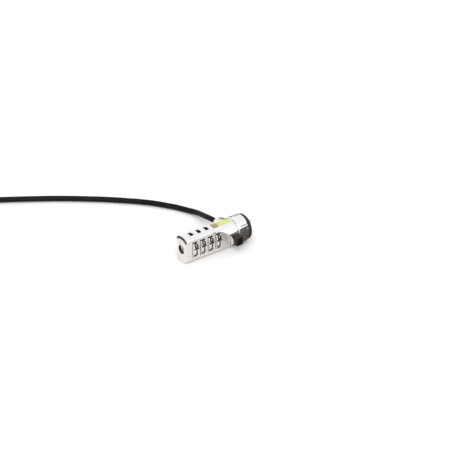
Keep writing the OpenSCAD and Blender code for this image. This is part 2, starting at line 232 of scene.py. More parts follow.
def mapRange(tree, value, low, high, newLow=0.0, newHigh=1.0):
    made = tree.nodes.new("ShaderNodeMapRange")
    made.interpolation_type = "SMOOTHSTEP"
    tree.links.new(value, made.inputs["Value"])
    for label, number in (("From Min", low), ("From Max", high), ("To Min", newLow), ("To Max", newHigh)):
        if isinstance(number, (int, float)):
            made.inputs[label].default_value = number
        else:
            tree.links.new(number, made.inputs[label])
    return made.outputs["Result"]


# A point's Y and Z from the barrel's axis, and its distance from that axis
def fromAxis(tree, parts):
    y = mathNode(tree, "SUBTRACT", parts.outputs["Y"], lock["axisY"] * mm)
    z = mathNode(tree, "SUBTRACT", parts.outputs["Z"], lock["axisZ"] * mm)
    squares = mathNode(tree, "ADD", mathNode(tree, "MULTIPLY", y, y), mathNode(tree, "MULTIPLY", z, z))
    return y, z, mathNode(tree, "SQRT", squares)


# Fine cast or sprayed grain: a soft value and a height
def makeGrainGroup():
    tree, start, end = newGroup(
        "fineGrain",
        [("Scale", "NodeSocketFloat", 2000.0), ("Blotch", "NodeSocketFloat", 120.0)],
        [("Grain", "NodeSocketFloat"), ("Cloud", "NodeSocketFloat")],
    )
    coordinates = tree.nodes.new("ShaderNodeTexCoord")
    for label, socket, detail in (("Scale", "Grain", 2.0), ("Blotch", "Cloud", 4.0)):
        noise = tree.nodes.new("ShaderNodeTexNoise")
        noise.inputs["Detail"].default_value = detail
        tree.links.new(coordinates.outputs["Object"], noise.inputs["Vector"])
        tree.links.new(start.outputs[label], noise.inputs["Scale"])
        tree.links.new(mapRange(tree, noise.outputs["Fac"], 0.3, 0.7), end.inputs[socket])
    return tree


# Brush or turning marks, long across one axis
def makeBrushGroup():
    tree, start, end = newGroup(
        "brushMarks",
        [("Stretch", "NodeSocketVector", (40.0, 3000.0, 3000.0))],
        [("Marks", "NodeSocketFloat")],
    )
    coordinates = tree.nodes.new("ShaderNodeTexCoord")
    scaled = tree.nodes.new("ShaderNodeVectorMath")
    scaled.operation = "MULTIPLY"
    tree.links.new(coordinates.outputs["Object"], scaled.inputs[0])
    tree.links.new(start.outputs["Stretch"], scaled.inputs[1])
    noise = tree.nodes.new("ShaderNodeTexNoise")
    noise.inputs["Scale"].default_value = 1.0
    noise.inputs["Detail"].default_value = 3.0
    tree.links.new(scaled.outputs["Vector"], noise.inputs["Vector"])
    tree.links.new(mapRange(tree, noise.outputs["Fac"], 0.35, 0.65), end.inputs["Marks"])
    return tree


# Where painted shade goes in hollows: 1 nearer the barrel's axis than Radius, behind the flats and past From
# X
def makeHollowGroup():
    tree, start, end = newGroup(
        "hollowMask",
        [
            ("Radius", "NodeSocketFloat", 0.0083),
            ("Flat", "NodeSocketFloat", 0.0054),
            ("From X", "NodeSocketFloat", 0.0),
        ],
        [("Mask", "NodeSocketFloat")],
    )
    coordinates = tree.nodes.new("ShaderNodeTexCoord")
    parts = tree.nodes.new("ShaderNodeSeparateXYZ")
    tree.links.new(coordinates.outputs["Object"], parts.inputs[0])
    y, _, far = fromAxis(tree, parts)
    near = mathNode(tree, "LESS_THAN", far, start.outputs["Radius"])
    behind = mathNode(tree, "LESS_THAN", mathNode(tree, "ABSOLUTE", y), start.outputs["Flat"])
    past = mathNode(tree, "GREATER_THAN", parts.outputs["X"], start.outputs["From X"])
    both = mathNode(tree, "MULTIPLY", near, behind)
    tree.links.new(mathNode(tree, "MULTIPLY", both, past), end.inputs["Mask"])
    return tree


grainGroup = makeGrainGroup()
brushGroup = makeBrushGroup()
hollowGroup = makeHollowGroup()


def useGroup(tree, group, values):
    made = tree.nodes.new("ShaderNodeGroup")
    made.node_tree = group
    for label, value in values.items():
        made.inputs[label].default_value = value
    return made.outputs


def mixColours(tree, factor, first, second):
    made = tree.nodes.new("ShaderNodeMix")
    made.data_type = "RGBA"
    if isinstance(factor, (int, float)):
        made.inputs[0].default_value = factor
    else:
        tree.links.new(factor, made.inputs[0])
    for socket, value in ((made.inputs[6], first), (made.inputs[7], second)):
        if isinstance(value, tuple):
            socket.default_value = (*value, 1)
        else:
            tree.links.new(value, socket)
    return made.outputs[2]


def newMaterial(name, metallic, ior=None, coat=0.0, coatRoughness=None):
    material = bpy.data.materials.new(name)
    material.use_nodes = True
    tree = material.node_tree
    shader = tree.nodes["Principled BSDF"]
    shader.inputs["Metallic"].default_value = metallic
    if ior:
        shader.inputs["IOR"].default_value = ior
    shader.inputs["Coat Weight"].default_value = coat
    if coatRoughness is not None:
        shader.inputs["Coat Roughness"].default_value = coatRoughness
    return material, tree, shader


def addBump(tree, shader, height, strength, distance):
    bump = tree.nodes.new("ShaderNodeBump")
    bump.inputs["Strength"].default_value = strength
    bump.inputs["Distance"].default_value = distance * mm
    tree.links.new(height, bump.inputs["Height"])
    tree.links.new(bump.outputs["Normal"], shader.inputs["Normal"])


# Metal or plastic with grain, cloudy tone and a range of roughness
def grainyMaterial(
    name, light, dark, rough, metallic=1.0, grain=2500.0, blotch=150.0, bump=0.2, depth=0.02, **shaderValues,
):
    material, tree, shader = newMaterial(name, metallic, **shaderValues)
    pattern = useGroup(tree, grainGroup, {"Scale": grain, "Blotch": blotch})
    tree.links.new(mixColours(tree, pattern["Cloud"], light, dark), shader.inputs["Base Color"])
    tree.links.new(mapRange(tree, pattern["Grain"], 0.0, 1.0, *rough), shader.inputs["Roughness"])
    addBump(tree, shader, pattern["Grain"], bump, depth)
    return material, tree, shader


def brushedMaterial(name, light, dark, rough, stretch, bump=0.15, depth=0.01):
    material, tree, shader = newMaterial(name, 1.0)
    marks = useGroup(tree, brushGroup, {"Stretch": stretch})["Marks"]
    tree.links.new(mixColours(tree, marks, light, dark), shader.inputs["Base Color"])
    tree.links.new(mapRange(tree, marks, 0.0, 1.0, *rough), shader.inputs["Roughness"])
    addBump(tree, shader, marks, bump, depth)
    return material


# Colours of the finishes, and of painted shade in hollows, slots and grooves
finishAndShade = {
    "satinLight": (0.82, 0.775, 0.755),
    "satinDark": (0.74, 0.695, 0.675),
    "chromeLight": (0.93, 0.93, 0.935),
    "chromeDark": (0.88, 0.88, 0.885),
    "dialLight": (0.86, 0.84, 0.82),
    "dialDark": (0.76, 0.74, 0.72),
    "ink": (0.012, 0.011, 0.011),
    "jacket": (0.004, 0.004, 0.0042),
    "groove": (0.02, 0.017, 0.016),
    "labelYellow": (0.56, 0.585, 0.17),
    "labelGold": (0.26, 0.185, 0.05),
    "labelHaze": (0.8, 0.8, 0.5),
    "hollowShade": (0.02, 0.017, 0.015),
    "slotShade": (0.02, 0.018, 0.016),
    "flagDark": (0.012, 0.01, 0.009),
    "flagLight": (0.16, 0.13, 0.11),
}

# Where a piece's colour changes, for painted shade and for the label's print, in millimetres
change = {
    "coreRadius": 9.3, "coreFrom": 3.4, "recessRadius": 3.45, "recessFrom": 0.12,
    "slotRadius": 4.0, "slotFrom": 1.42, "grooveRadius": 7.78, "grooveFacing": 0.6,
    "goldTo": 29.6, "goldFade": 2.4,
}


# Satin nickel with painted shade inside the barrel core behind the windows and in the reset screw's
# counterbore
def makeSatinNickel():
    material, tree, shader = grainyMaterial(
        "satinNickel", finishAndShade["satinLight"], finishAndShade["satinDark"], (0.36, 0.5),
        grain=3200, blotch=260, bump=0.35,
    )
    plain = shader.inputs["Base Color"].links[0].from_socket
    core = {"Radius": change["coreRadius"] * mm, "From X": along(change["coreFrom"])}
    recess = {"Radius": change["recessRadius"] * mm, "From X": along(change["recessFrom"])}
    masks = [useGroup(tree, hollowGroup, values)["Mask"] for values in (core, recess)]
    hollowShade = mathNode(tree, "MAXIMUM", *masks)
    tree.links.new(mixColours(tree, hollowShade, plain, finishAndShade["hollowShade"]), shader.inputs["Base Color"])
    return material


# Bright screw head with painted shade in its slot
def makeScrewSteel():
    material, tree, shader = grainyMaterial(
        "screwSteel", (0.8, 0.79, 0.78), (0.7, 0.69, 0.68), (0.24, 0.36), grain=2600, blotch=500, bump=0.1,
    )
    plain = shader.inputs["Base Color"].links[0].from_socket
    values = {"Radius": change["slotRadius"] * mm, "From X": along(change["slotFrom"])}
    slotShadeMask = useGroup(tree, hollowGroup, values)["Mask"]
    tree.links.new(mixColours(tree, slotShadeMask, plain, finishAndShade["slotShade"]), shader.inputs["Base Color"])
    return material


# Polished dials with painted shade in their grooves
def makeDialChrome():
    material, tree, shader = grainyMaterial(
        "dialChrome", finishAndShade["dialLight"], finishAndShade["dialDark"], (0.2, 0.3), grain=2200, blotch=300, bump=0.08,
    )
    plain = shader.inputs["Base Color"].links[0].from_socket
    everywhere = {"Radius": change["grooveRadius"] * mm, "Flat": 1.0, "From X": -1.0}
    low = useGroup(tree, hollowGroup, everywhere)["Mask"]
    facing = tree.nodes.new("ShaderNodeTexCoord")
    parts = tree.nodes.new("ShaderNodeSeparateXYZ")
    tree.links.new(facing.outputs["Normal"], parts.inputs[0])
    slant = mathNode(tree, "ABSOLUTE", parts.outputs["X"])
    sideways = mathNode(tree, "LESS_THAN", slant, change["grooveFacing"])
    groove = mathNode(tree, "MULTIPLY", low, sideways)
    tree.links.new(mixColours(tree, groove, plain, finishAndShade["groove"]), shader.inputs["Base Color"])
    return material


# Film that turns from gold at its low X end to yellow
def makeLabelFilm():
    material, tree, shader = newMaterial("labelFilm", 0.0, ior=1.5, coat=0.3, coatRoughness=0.15)
    coordinates = tree.nodes.new("ShaderNodeTexCoord")
    parts = tree.nodes.new("ShaderNodeSeparateXYZ")
    tree.links.new(coordinates.outputs["Object"], parts.inputs[0])
    start = along(change["goldTo"])
    turn = mapRange(tree, parts.outputs["X"], start, start + change["goldFade"] * mm)
    colour = mixColours(tree, turn, finishAndShade["labelGold"], finishAndShade["labelYellow"])
    cloud = useGroup(tree, grainGroup, {"Scale": 1800.0, "Blotch": 400.0})
    haze = mathNode(tree, "MULTIPLY", cloud["Cloud"], 0.18)
    tree.links.new(mixColours(tree, haze, colour, finishAndShade["labelHaze"]), shader.inputs["Base Color"])
    tree.links.new(mapRange(tree, cloud["Grain"], 0, 1, 0.3, 0.42), shader.inputs["Roughness"])
    addBump(tree, shader, cloud["Grain"], 0.1, 0.01)
    return material


# The steel rope inside the cable, with its lay in millimetres
rope = {"strands": 6, "lay": 3.2}


# Cable jacket: the rope's lay shows faintly through the plastic
def makeJacket():
    material, tree, shader = newMaterial("jacketPlastic", 0.0, ior=1.2)
    uv = tree.nodes.new("ShaderNodeUVMap")
    uv.uv_map = "UVMap"
    parts = tree.nodes.new("ShaderNodeSeparateXYZ")
    tree.links.new(uv.outputs[0], parts.inputs[0])
    strands = mathNode(tree, "MULTIPLY", parts.outputs["X"], rope["strands"] * 2 * math.pi)
    lay = mathNode(tree, "MULTIPLY", parts.outputs["Y"], 2 * math.pi / (rope["lay"] * mm))
    wave = mathNode(tree, "SINE", mathNode(tree, "ADD", strands, lay))
    grain = useGroup(tree, grainGroup, {"Scale": 2600.0, "Blotch": 220.0})
    waves, specks = mathNode(tree, "MULTIPLY", wave, 0.08), mathNode(tree, "MULTIPLY", grain["Grain"], 0.15)
    height = mathNode(tree, "ADD", waves, specks)
    colour = mixColours(tree, grain["Cloud"], finishAndShade["jacket"], (0.008, 0.008, 0.009))
    tree.links.new(colour, shader.inputs["Base Color"])
    tree.links.new(mapRange(tree, grain["Grain"], 0, 1, 0.3, 0.42), shader.inputs["Roughness"])
    addBump(tree, shader, height, 0.35, 0.05)
    return material


# The strap round the coil, in millimetres and degrees
tie = {
    "from": 251.0, "to": 271.0, "steps": 10, "thickness": 0.9, "inner": 15.9, "outer": 32.1,
    "low": 0.95, "high": 9.1, "corner": 1.8, "lowest": 0.02, "threadPitch": 0.9,
}


# Woven strap from its own UV map, in millimetres round it and in steps across
def makeStrapWeave():
    material, tree, shader = newMaterial("strapWeave", 0.0)
    uv = tree.nodes.new("ShaderNodeUVMap")
    uv.uv_map = "UVMap"
    parts = tree.nodes.new("ShaderNodeSeparateXYZ")
    tree.links.new(uv.outputs[0], parts.inputs[0])
    rate = 2 * math.pi / tie["threadPitch"]
    across = mathNode(tree, "SINE", mathNode(tree, "MULTIPLY", parts.outputs["X"], rate))
    along = mathNode(tree, "SINE", mathNode(tree, "MULTIPLY", parts.outputs["Y"], rate))
    weave = mathNode(tree, "MULTIPLY", across, along)
    tree.links.new(
        mixColours(tree, mapRange(tree, weave, -1, 1), (0.008, 0.008, 0.009), (0.05, 0.05, 0.052)),
        shader.inputs["Base Color"],
    )
    shader.inputs["Roughness"].default_value = 0.85
    shader.inputs["Sheen Weight"].default_value = 0.3
    addBump(tree, shader, weave, 0.6, 0.15)
    return material


satinNickel = makeSatinNickel()
brightChrome = grainyMaterial(
    "brightChrome", finishAndShade["chromeLight"], finishAndShade["chromeDark"], (0.1, 0.17), grain=900, blotch=90, bump=0.03,
)[0]
dialChrome = makeDialChrome()
screwSteel = makeScrewSteel()
numeralInk = grainyMaterial(
    "numeralInk", finishAndShade["ink"], (0.03, 0.028, 0.027), (0.4, 0.55), metallic=0.0, grain=3000, blotch=600,
)[0]
machinedSteel = brushedMaterial(
    "machinedSteel", (0.66, 0.65, 0.64), (0.52, 0.51, 0.5), (0.24, 0.38), (3000.0, 60.0, 60.0),
)
springSteel = brushedMaterial(
    "springSteel", (0.42, 0.42, 0.45), (0.3, 0.3, 0.33), (0.3, 0.42), (900.0, 900.0, 900.0),
)
turnedBrass = brushedMaterial(
    "turnedBrass", (0.82, 0.62, 0.3), (0.7, 0.51, 0.22), (0.26, 0.38), (3000.0, 80.0, 80.0),
)
crimpSteel = brushedMaterial(
    "crimpSteel", (0.78, 0.78, 0.79), (0.66, 0.66, 0.67), (0.22, 0.34), (60.0, 60.0, 1800.0),
)
blackPlastic = grainyMaterial(
    "blackPlastic", (0.006, 0.006, 0.0065), (0.012, 0.012, 0.013), (0.18, 0.28), metallic=0.0, grain=1800,
    bump=0.06, ior=1.3,
)[0]
softRubber = grainyMaterial(
    "softRubber", (0.016, 0.016, 0.016), (0.028, 0.028, 0.028), (0.5, 0.68),
    metallic=0.0, grain=2400, bump=0.25,
)[0]
labelFilm = makeLabelFilm()
jacketPlastic = makeJacket()
strapWeave = makeStrapWeave()
print("materials made")


# Cable sizes and places in millimetres, angles in degrees
cable = {
    "radius": 2.0,
    "sides": 20,
    "step": 2.5,
    "coilAt": (-142, 139.5),
    "turnRadii": [30, 26, 22, 18, 18, 22, 26, 30],
    "lowLayer": 3.0,
    "highLayer": 7.0,
    "startAngle": 62.6,
    "lastPart": 0.326,
    "stepShare": 0.3,
}
routePoints = [
    (14.4, 18.4, 7.6), (14.4, 22, 7.4), (14.4, 26.5, 6.7), (14.6, 31.5, 5.6), (15.2, 37.2, 4.2),
    (15.3, 41.7, 3.2), (14.5, 46.4, 2.4), (12.9, 50.5, 2), (9.1, 58, 2), (4.7, 64.7, 2),
    (0.3, 71.1, 2), (-4.6, 77, 2), (-9.7, 82.5, 2), (-15.3, 87.8, 2), (-20.6, 92.9, 2),
    (-25.2, 97, 2), (-29.6, 100.8, 2), (-41, 110, 2), (-52.6, 118.9, 2), (-64.6, 127.2, 2),
    (-76.7, 135.2, 2), (-89, 143, 2), (-101.5, 150.7, 2), (-115, 159, 2.3),
]
tailPoints = [(-172.4, 129.5, 5.6), (-173, 119.5, 4), (-173.4, 109.5, 3.6)]


# Two layers of turns, inwards below and outwards above
def coilPoints():
    made = []
    perTurn = 36
    radii = cable["turnRadii"]
    turns = len(radii) - 1 + cable["lastPart"]
    for k in range(round(turns * perTurn) + 1):
        turn = k / perTurn
        whole = min(int(turn), len(radii) - 1)
        share = turn - whole
        following = radii[min(whole + 1, len(radii) - 1)]
        shift = max(0.0, (share - 1 + cable["stepShare"]) / cable["stepShare"])
        shift = shift * shift * (3 - 2 * shift)
        radius = radii[whole] + (following - radii[whole]) * shift
        climb = 0.0 if whole < 3 else (shift if whole == 3 else 1.0)
        height = cable["lowLayer"] + (cable["highLayer"] - cable["lowLayer"]) * climb
        angle = math.radians(cable["startAngle"]) + 2 * math.pi * turn
        made.append((
            cable["coilAt"][0] + radius * math.cos(angle),
            cable["coilAt"][1] + radius * math.sin(angle),
            height,
        ))
    return made


# Even steps along a smooth curve through the points
def smoothPath(points, step):
    points = [Vector(p) * mm for p in points]
    dense = []
    for k in range(len(points) - 1):
        p0, p1, p2, p3 = (points[min(max(k + n, 0), len(points) - 1)] for n in (-1, 0, 1, 2))
        for n in range(12):
            t = n / 12
            dense.append(0.5 * (
                2 * p1 + (p2 - p0) * t + (2 * p0 - 5 * p1 + 4 * p2 - p3) * t * t
                + (3 * p1 - p0 - 3 * p2 + p3) * t ** 3
            ))
    dense.append(points[-1])
    made, walked = [dense[0]], 0.0
    for a, b in zip(dense, dense[1:]):
        walked += (b - a).length
        if walked >= step * mm:
            made.append(b)
            walked = 0.0
    if (made[-1] - dense[-1]).length > 0.3 * step * mm:
        made.append(dense[-1])
    else:
        made[-1] = dense[-1]
    return made


# Closed tube along a path, with UV round it and along it
def tubeMesh(name, path, radius, sides):
    vertices, faces, uvs = [], [], []
    side = None
    travelled = 0.0
    lengths = []
    for k, point in enumerate(path):
        ahead = (path[min(k + 1, len(path) - 1)] - path[max(k - 1, 0)]).normalized()
        if side is None:
            side = ahead.cross(Vector((0, 0, 1))).normalized()
        side = (side - ahead * side.dot(ahead)).normalized()
        up = side.cross(ahead)
        if k:
            travelled += (point - path[k - 1]).length
        lengths.append(travelled)
        for s in range(sides):
            angle = 2 * math.pi * s / sides
            vertices.append(point + radius * mm * (math.cos(angle) * side + math.sin(angle) * up))
    for k in range(len(path) - 1):
        for s in range(sides):
            following = (s + 1) % sides
            faces.append((
                k * sides + s, k * sides + following, (k + 1) * sides + following, (k + 1) * sides + s,
            ))
            uvs.append([
                (s / sides, lengths[k]), ((s + 1) / sides, lengths[k]),
                ((s + 1) / sides, lengths[k + 1]), (s / sides, lengths[k + 1]),
            ])
    last = (len(path) - 1) * sides
    faces.append(tuple(range(sides - 1, -1, -1)))
    faces.append(tuple(last + s for s in range(sides)))
    uvs += [[(0, 0)] * sides, [(0, travelled)] * sides]
    made = meshObject(name, vertices, faces, uvs)
    faceOutwards(made.data)
    smoothByAngle(made.data, 50)
    return made


cablePath = smoothPath(routePoints + coilPoints() + tailPoints, cable["step"])
cableRope = tubeMesh("cableRope", cablePath, cable["radius"], cable["sides"])
finishPiece(cableRope, "cable", "cable_jacket", jacketPlastic, "cable_run", "cable_coil", "cable_tail")
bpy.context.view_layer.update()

loop = {
    "sleeveAt": (-175.6, 109.5, 3.6), "sleeveLength": 14, "insideSleeve": 9, "gap": 2.2, "reach": 26,
    "radius": 13, "steps": 40,
}


# Round end with two straight legs that run into the sleeve
def loopPath():
    x, y, z = loop["sleeveAt"]
    mouth = y - loop["sleeveLength"]
    middle = mouth - loop["reach"]
    far = math.hypot(loop["gap"], loop["reach"])
    tangent = math.atan2(loop["reach"], loop["gap"]) - math.acos(loop["radius"] / far)
    sweep = math.pi + 2 * tangent
    inside = mouth + loop["insideSleeve"]
    points = [(x + loop["gap"], inside, z), (x + loop["gap"], mouth, z)]
    for k in range(loop["steps"] + 1):
        angle = tangent - sweep * k / loop["steps"]
        points.append((x + loop["radius"] * math.cos(angle), middle + loop["radius"] * math.sin(angle), z))
    points += [(x - loop["gap"], mouth, z), (x - loop["gap"], inside, z)]
    return [Vector(p) * mm for p in points]


anchorLoop = tubeMesh("anchorLoopRope", loopPath(), cable["radius"], cable["sides"])
finishPiece(anchorLoop, "cable", "cable_jacket", jacketPlastic, "anchor_loop")


# Hook-and-loop strap wrapped once round the coil's section
def makeTie():
    inner, outer, low, high, corner = (tie[k] for k in ("inner", "outer", "low", "high", "corner"))
    centres = [(outer - corner, high - corner, 0), (inner + corner, high - corner, 90),
               (inner + corner, low + corner, 180), (outer - corner, low + corner, 270)]
    section = []
    for cx, cz, startAngle in centres:
        for k in range(6):
            angle = math.radians(startAngle + 90 * k / 5)
            outX, outZ = math.cos(angle), math.sin(angle)
            section.append((cx + corner * outX, cz + corner * outZ, outX, outZ))
    section.append(section[0])
    steps = tie["steps"]
    vertices, faces, uvs = [], [], []
    walked = [0.0]
    for a, b in zip(section, section[1:]):
        walked.append(walked[-1] + math.hypot(b[0] - a[0], b[1] - a[1]))
    count = len(section) - 1
    for level in (0.0, tie["thickness"]):
        for s in range(steps + 1):
            angle = math.radians(tie["from"] + (tie["to"] - tie["from"]) * s / steps)
            for r, z, nr, nz in section[:-1]:
                far = r + nr * level
                vertices.append(Vector((
                    cable["coilAt"][0] + far * math.cos(angle),
                    cable["coilAt"][1] + far * math.sin(angle),
                    max(z + nz * level, tie["lowest"]),
                )) * mm)
    layer = (steps + 1) * count
    for level in (0, 1):
        for s in range(steps):
            for k in range(count):
                following = (k + 1) % count
                near, far = level * layer + s * count, level * layer + (s + 1) * count
                faces.append((near + k, near + following, far + following, far + k))
                uvs.append([(walked[k], s), (walked[k + 1], s), (walked[k + 1], s + 1), (walked[k], s + 1)])
    for s in (0, steps):
        for k in range(count):
            following = (k + 1) % count
            below, above = s * count, layer + s * count
            faces.append((below + k, below + following, above + following, above + k))
            uvs.append([(walked[k], s), (walked[k + 1], s), (walked[k + 1], s), (walked[k], s)])
    made = meshObject("coilStrap", vertices, faces, uvs)
    faceOutwards(made.data)
    smoothByAngle(made.data, 40)
    return finishPiece(made, "cable", "strap_fabric", strapWeave, "coil_tie")


coilStrap = makeTie()
crimpSleeve = softCopy("loop_sleeve", "crimpSleeve", "cable", "crimp_steel", crimpSteel, width=0.5)
cableSocket = softCopy("cable_terminal", "cableSocket", "cable", "crimp_steel", crimpSteel, width=0.2)
print("loop, sleeve and strap made")


# Shallow grooves cut lengthways into a turned piece
def grooveTree():
    tree = bpy.data.node_groups.new("gripGrooves", "GeometryNodeTree")
    labels = [
        ("Count", 10.0), ("Depth", 0.5), ("Half Width", 0.7), ("Radius", 8.0), ("From X", 0.0), ("To X", 1.0),
        ("Run Out", 0.05), ("Turn", 0.0),
    ]
    tree.interface.new_socket("Geometry", in_out="INPUT", socket_type="NodeSocketGeometry")
    for label, value in labels:
        socket = tree.interface.new_socket(label, in_out="INPUT", socket_type="NodeSocketFloat")
        socket.default_value = value
    tree.interface.new_socket("Material", in_out="INPUT", socket_type="NodeSocketMaterial")
    tree.interface.new_socket("Geometry", in_out="OUTPUT", socket_type="NodeSocketGeometry")
    start = tree.nodes.new("NodeGroupInput")
    end = tree.nodes.new("NodeGroupOutput")
    given = start.outputs
    spot = tree.nodes.new("GeometryNodeInputPosition")
    parts = tree.nodes.new("ShaderNodeSeparateXYZ")
    tree.links.new(spot.outputs[0], parts.inputs[0])
    y, z, far = fromAxis(tree, parts)
    angle = mathNode(tree, "ADD", mathNode(tree, "ARCTAN2", z, y), given["Turn"])
    pitch = mathNode(tree, "DIVIDE", 2 * math.pi, given["Count"])
    part = mathNode(tree, "FRACT", mathNode(tree, "DIVIDE", angle, pitch))
    share = mathNode(tree, "SUBTRACT", part, 0.5)
    reach = mathNode(tree, "MULTIPLY", mathNode(tree, "MULTIPLY", share, pitch), given["Radius"])
    ratio = mathNode(tree, "DIVIDE", reach, given["Half Width"])
    scoop = mathNode(tree, "SUBTRACT", 1.0, mathNode(tree, "MULTIPLY", ratio, ratio), clamp=True)
    x = parts.outputs["X"]
    begun = mathNode(tree, "SUBTRACT", x, given["From X"])
    left = mathNode(tree, "SUBTRACT", given["To X"], x)
    rising = mathNode(tree, "DIVIDE", begun, given["Run Out"], clamp=True)
    falling = mathNode(tree, "DIVIDE", left, given["Run Out"], clamp=True)
    cut = mathNode(tree, "MULTIPLY", scoop, mathNode(tree, "MULTIPLY", rising, falling))
    depth = mathNode(tree, "MULTIPLY", cut, given["Depth"])
    limit = mathNode(tree, "SUBTRACT", given["Radius"], depth)
    scale = mathNode(tree, "DIVIDE", mathNode(tree, "MINIMUM", far, limit), far)
    moved = tree.nodes.new("ShaderNodeCombineXYZ")
    tree.links.new(x, moved.inputs["X"])
    for label, value, axis in (("Y", y, lock["axisY"]), ("Z", z, lock["axisZ"])):
        scaled = mathNode(tree, "MULTIPLY", value, scale)
        tree.links.new(mathNode(tree, "ADD", scaled, axis * mm), moved.inputs[label])
    setter = tree.nodes.new("GeometryNodeSetPosition")
    tree.links.new(given["Geometry"], setter.inputs["Geometry"])
    tree.links.new(moved.outputs[0], setter.inputs["Position"])
    real = tree.nodes.new("GeometryNodeRealizeInstances")
    tree.links.new(setter.outputs[0], real.inputs[0])
    paint = tree.nodes.new("GeometryNodeSetMaterial")
    tree.links.new(real.outputs[0], paint.inputs["Geometry"])
    tree.links.new(given["Material"], paint.inputs["Material"])
    tree.links.new(paint.outputs[0], end.inputs[0])
    return tree


grooves = grooveTree()


def cutGrooves(piece, material, values):
    modifier = piece.modifiers.new("gripGrooves", "NODES")
    modifier.node_group = grooves
    for item in grooves.interface.items_tree:
        if item.in_out == "INPUT" and item.name in values:
            modifier[item.identifier] = float(values[item.name])
        if item.in_out == "INPUT" and item.name == "Material":
            modifier[item.identifier] = material
    plainMesh(piece)
    smoothByAngle(piece.data, 38)


dial = {
    "bodies": ["dial_one", "dial_two", "dial_three", "dial_four"],
    "first": 8.0, "pitch": 6.65, "width": 4.0, "radius": 8.0, "bore": 4.1, "edge": 0.35,
    "grooveDepth": 0.5, "grooveHalf": 0.72, "digits": 10, "digitHeight": 3.3, "digitStretch": 1.25,
    "capShare": 0.72, "inkLift": 0.015, "inkRow": 0.4, "inkWeight": 0.34, "shown": [0, 0, 0, 0], "turn": 28.0,
}


def dialMiddle(number):
    return dial["first"] + dial["pitch"] * (number - 1)


def makeDial(number):
    low, high = dialMiddle(number) - dial["width"] / 2, dialMiddle(number) + dial["width"] / 2
    outline = [(low, dial["bore"]), (high, dial["bore"]), (high, dial["radius"]), (low, dial["radius"])]
    outline = roundCorner(outline, 3, dial["edge"])
    outline = roundCorner(outline, 2, dial["edge"])
    piece = turned(f"numberDial{number}", outline, 360)
    cutGrooves(piece, dialChrome, {
        "Count": dial["digits"], "Depth": dial["grooveDepth"] * mm, "Half Width": dial["grooveHalf"] * mm,
        "Radius": dial["radius"] * mm, "From X": -1, "To X": 1, "Run Out": 0.001,
        "Turn": math.radians(dial["turn"]),
    })
    finishPiece(piece, dial["bodies"][number - 1], "dial_chrome", dialChrome, f"dial_{number}")


# One numeral as flat triangles about its own middle, in millimetres
def numeralShape(digit):
    text = bpy.data.curves.new("numeralText", "FONT")
    text.body = str(digit)
    text.size = dial["digitHeight"] / dial["capShare"]
    text.offset = dial["inkWeight"]
    text.resolution_u = 3
    holder = bpy.data.objects.new("numeralText", text)
    bpy.context.scene.collection.objects.link(holder)
    mesh = bpy.data.meshes.new_from_object(holder.evaluated_get(bpy.context.evaluated_depsgraph_get()))
    bpy.data.objects.remove(holder)
    shell = bmesh.new()
    shell.from_mesh(mesh)
    xs = [v.co.x for v in shell.verts]
    ys = [v.co.y for v in shell.verts]
    # Rows close enough to bend round the dial
    rows = round((max(ys) - min(ys)) / dial["inkRow"])
    for row in range(1, rows):
        level = min(ys) + (max(ys) - min(ys)) * row / rows
        everything = [*shell.verts, *shell.edges, *shell.faces]
        bmesh.ops.bisect_plane(shell, geom=everything, plane_co=(0, level, 0), plane_no=(0, 1, 0))
    bmesh.ops.triangulate(shell, faces=shell.faces)
    middle = Vector(((min(xs) + max(xs)) / 2, (min(ys) + max(ys)) / 2, 0))
    points = [v.co - middle for v in shell.verts]
    shell.verts.index_update()
    faces = [[v.index for v in f.verts] for f in shell.faces]
    shell.free()
    return points, faces


numeralShapes = [numeralShape(digit) for digit in range(dial["digits"])]


# Ten painted numerals round a dial, upright as seen from the front
def makeNumerals(number):
    vertices, faces = [], []
    far = dial["radius"] + dial["inkLift"]
    for k in range(dial["digits"]):
        points, triangles = numeralShapes[(dial["shown"][number - 1] + k) % dial["digits"]]
        start = len(vertices)
        for point in points:
            angle = math.pi - math.radians(dial["turn"]) + 2 * math.pi / dial["digits"] * k - point.y / far
            x = dialMiddle(number) + point.x * dial["digitStretch"]
            vertices.append(place(x, far * math.cos(angle), far * math.sin(angle)))
        faces += [tuple(start + n for n in triangle) for triangle in triangles]
    piece = meshObject(f"dialNumerals{number}", vertices, faces)
    smoothByAngle(piece.data, 60)
    finishPiece(piece, dial["bodies"][number - 1], "dial_chrome", numeralInk)


for number in range(1, len(dial["bodies"]) + 1):
    makeDial(number)
    makeNumerals(number)
print("dials and numerals made")

ring = {
    "from": 43.8, "to": 52.8, "radius": 10.0, "rim": 0.6, "bore": 7.08, "shoulder": 49.7, "pocket": 8.6,
    "count": 24, "depth": 0.2, "half": 0.75, "fluteFrom": 46.9, "fluteTo": 51.7, "runOut": 0.4,
    "rimSteps": 6, "rows": 24,
}


# The outer face gets rows of points between its round rims, for the grooves to follow
def makeRing():
    outline = [
        (ring["from"], ring["bore"]), (ring["shoulder"], ring["bore"]), (ring["shoulder"], ring["pocket"]),
        (ring["to"], ring["pocket"]), (ring["to"], ring["radius"]), (ring["from"], ring["radius"]),
    ]
    outline = roundCorner(outline, 5, ring["rim"], ring["rimSteps"])
    outline = roundCorner(outline, 4, ring["rim"], ring["rimSteps"])
    low, high = ring["from"] + ring["rim"], ring["to"] - ring["rim"]
    where = len(outline) - ring["rimSteps"] - 1
    extra = [(high - (high - low) * k / ring["rows"], ring["radius"]) for k in range(1, ring["rows"])]
    outline = outline[:where] + extra + outline[where:]
    piece = turned("lockingRing", outline, 384)
    cutGrooves(piece, brightChrome, {
        "Count": ring["count"], "Depth": ring["depth"] * mm, "Half Width": ring["half"] * mm,
        "Radius": ring["radius"] * mm, "From X": along(ring["fluteFrom"]), "To X": along(ring["fluteTo"]),
        "Run Out": ring["runOut"] * mm,
    })
    finishPiece(piece, "ring", "bright_chrome", brightChrome, "locking_ring")


makeRing()

bumper = {"from": 52.8, "to": 55.3, "hole": 3.585, "radius": 9.6, "round": 0.9}


